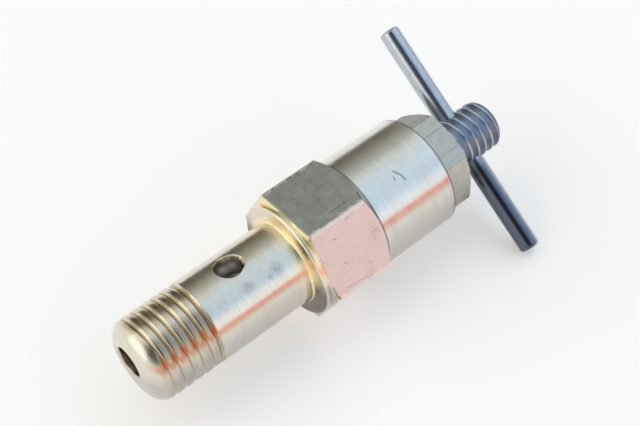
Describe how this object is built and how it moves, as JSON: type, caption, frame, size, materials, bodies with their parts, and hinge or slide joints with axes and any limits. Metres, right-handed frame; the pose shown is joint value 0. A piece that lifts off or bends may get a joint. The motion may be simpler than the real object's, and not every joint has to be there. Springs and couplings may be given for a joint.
{
  "type": "fuel tap",
  "caption": "Screw-down fuel tap: turned brass body with threaded spigot, cross-drilled banjo shank, hexagon and barrel, gland nut, steel spindle and tommy bar handle.",
  "frame": {"origin": "on the tap's axis, at the middle of the outlet port in the banjo shank", "axes": "+X along the axis from the threaded spigot to the handle, +Z square to a flat of the body's hexagon, with the port 4.5 degrees from it towards +Y, +Y completes the right-handed frame"},
  "size_m": [0.0657, 0.0326, 0.0254],
  "materials": {
    "turned_brass": "turned, fine rings round the axis; hexagon left as drawn bar",
    "nut_brass": "drawn bar, dull",
    "spindle_steel": "cut thread, bright",
    "bar_steel": "ground rod, bright",
    "ball_steel": "polished",
    "washer_brass": "turned",
    "packing": "matt"
  },
  "bodies": {
    "tap_body": {"body": "turned_brass", "gland_nut": "nut_brass", "packing_washer": "washer_brass", "packing_ring_1": "packing", "packing_ring_2": "packing", "packing_ring_3": "packing", "packing_follower": "washer_brass"},
    "valve": {"valve_ball": "ball_steel"},
    "stem": {"spindle": "spindle_steel", "tommy_bar": "bar_steel"}
  },
  "joints": [
    {"name": "valve_lift", "type": "slide", "parent": "tap_body", "child": "valve", "axis": [1, 0, 0], "range_m": [0, 0.00424]},
    {"name": "spindle_turn", "type": "hinge", "parent": "valve", "child": "stem", "pos_m": [0, 0, 0], "axis": [1, 0, 0], "range_deg": [0, 1080]}
  ],
  "couplings": [
    {"joint": "valve_lift", "follows": "spindle_turn", "m_per_rad": 0.00022458}
  ]
}
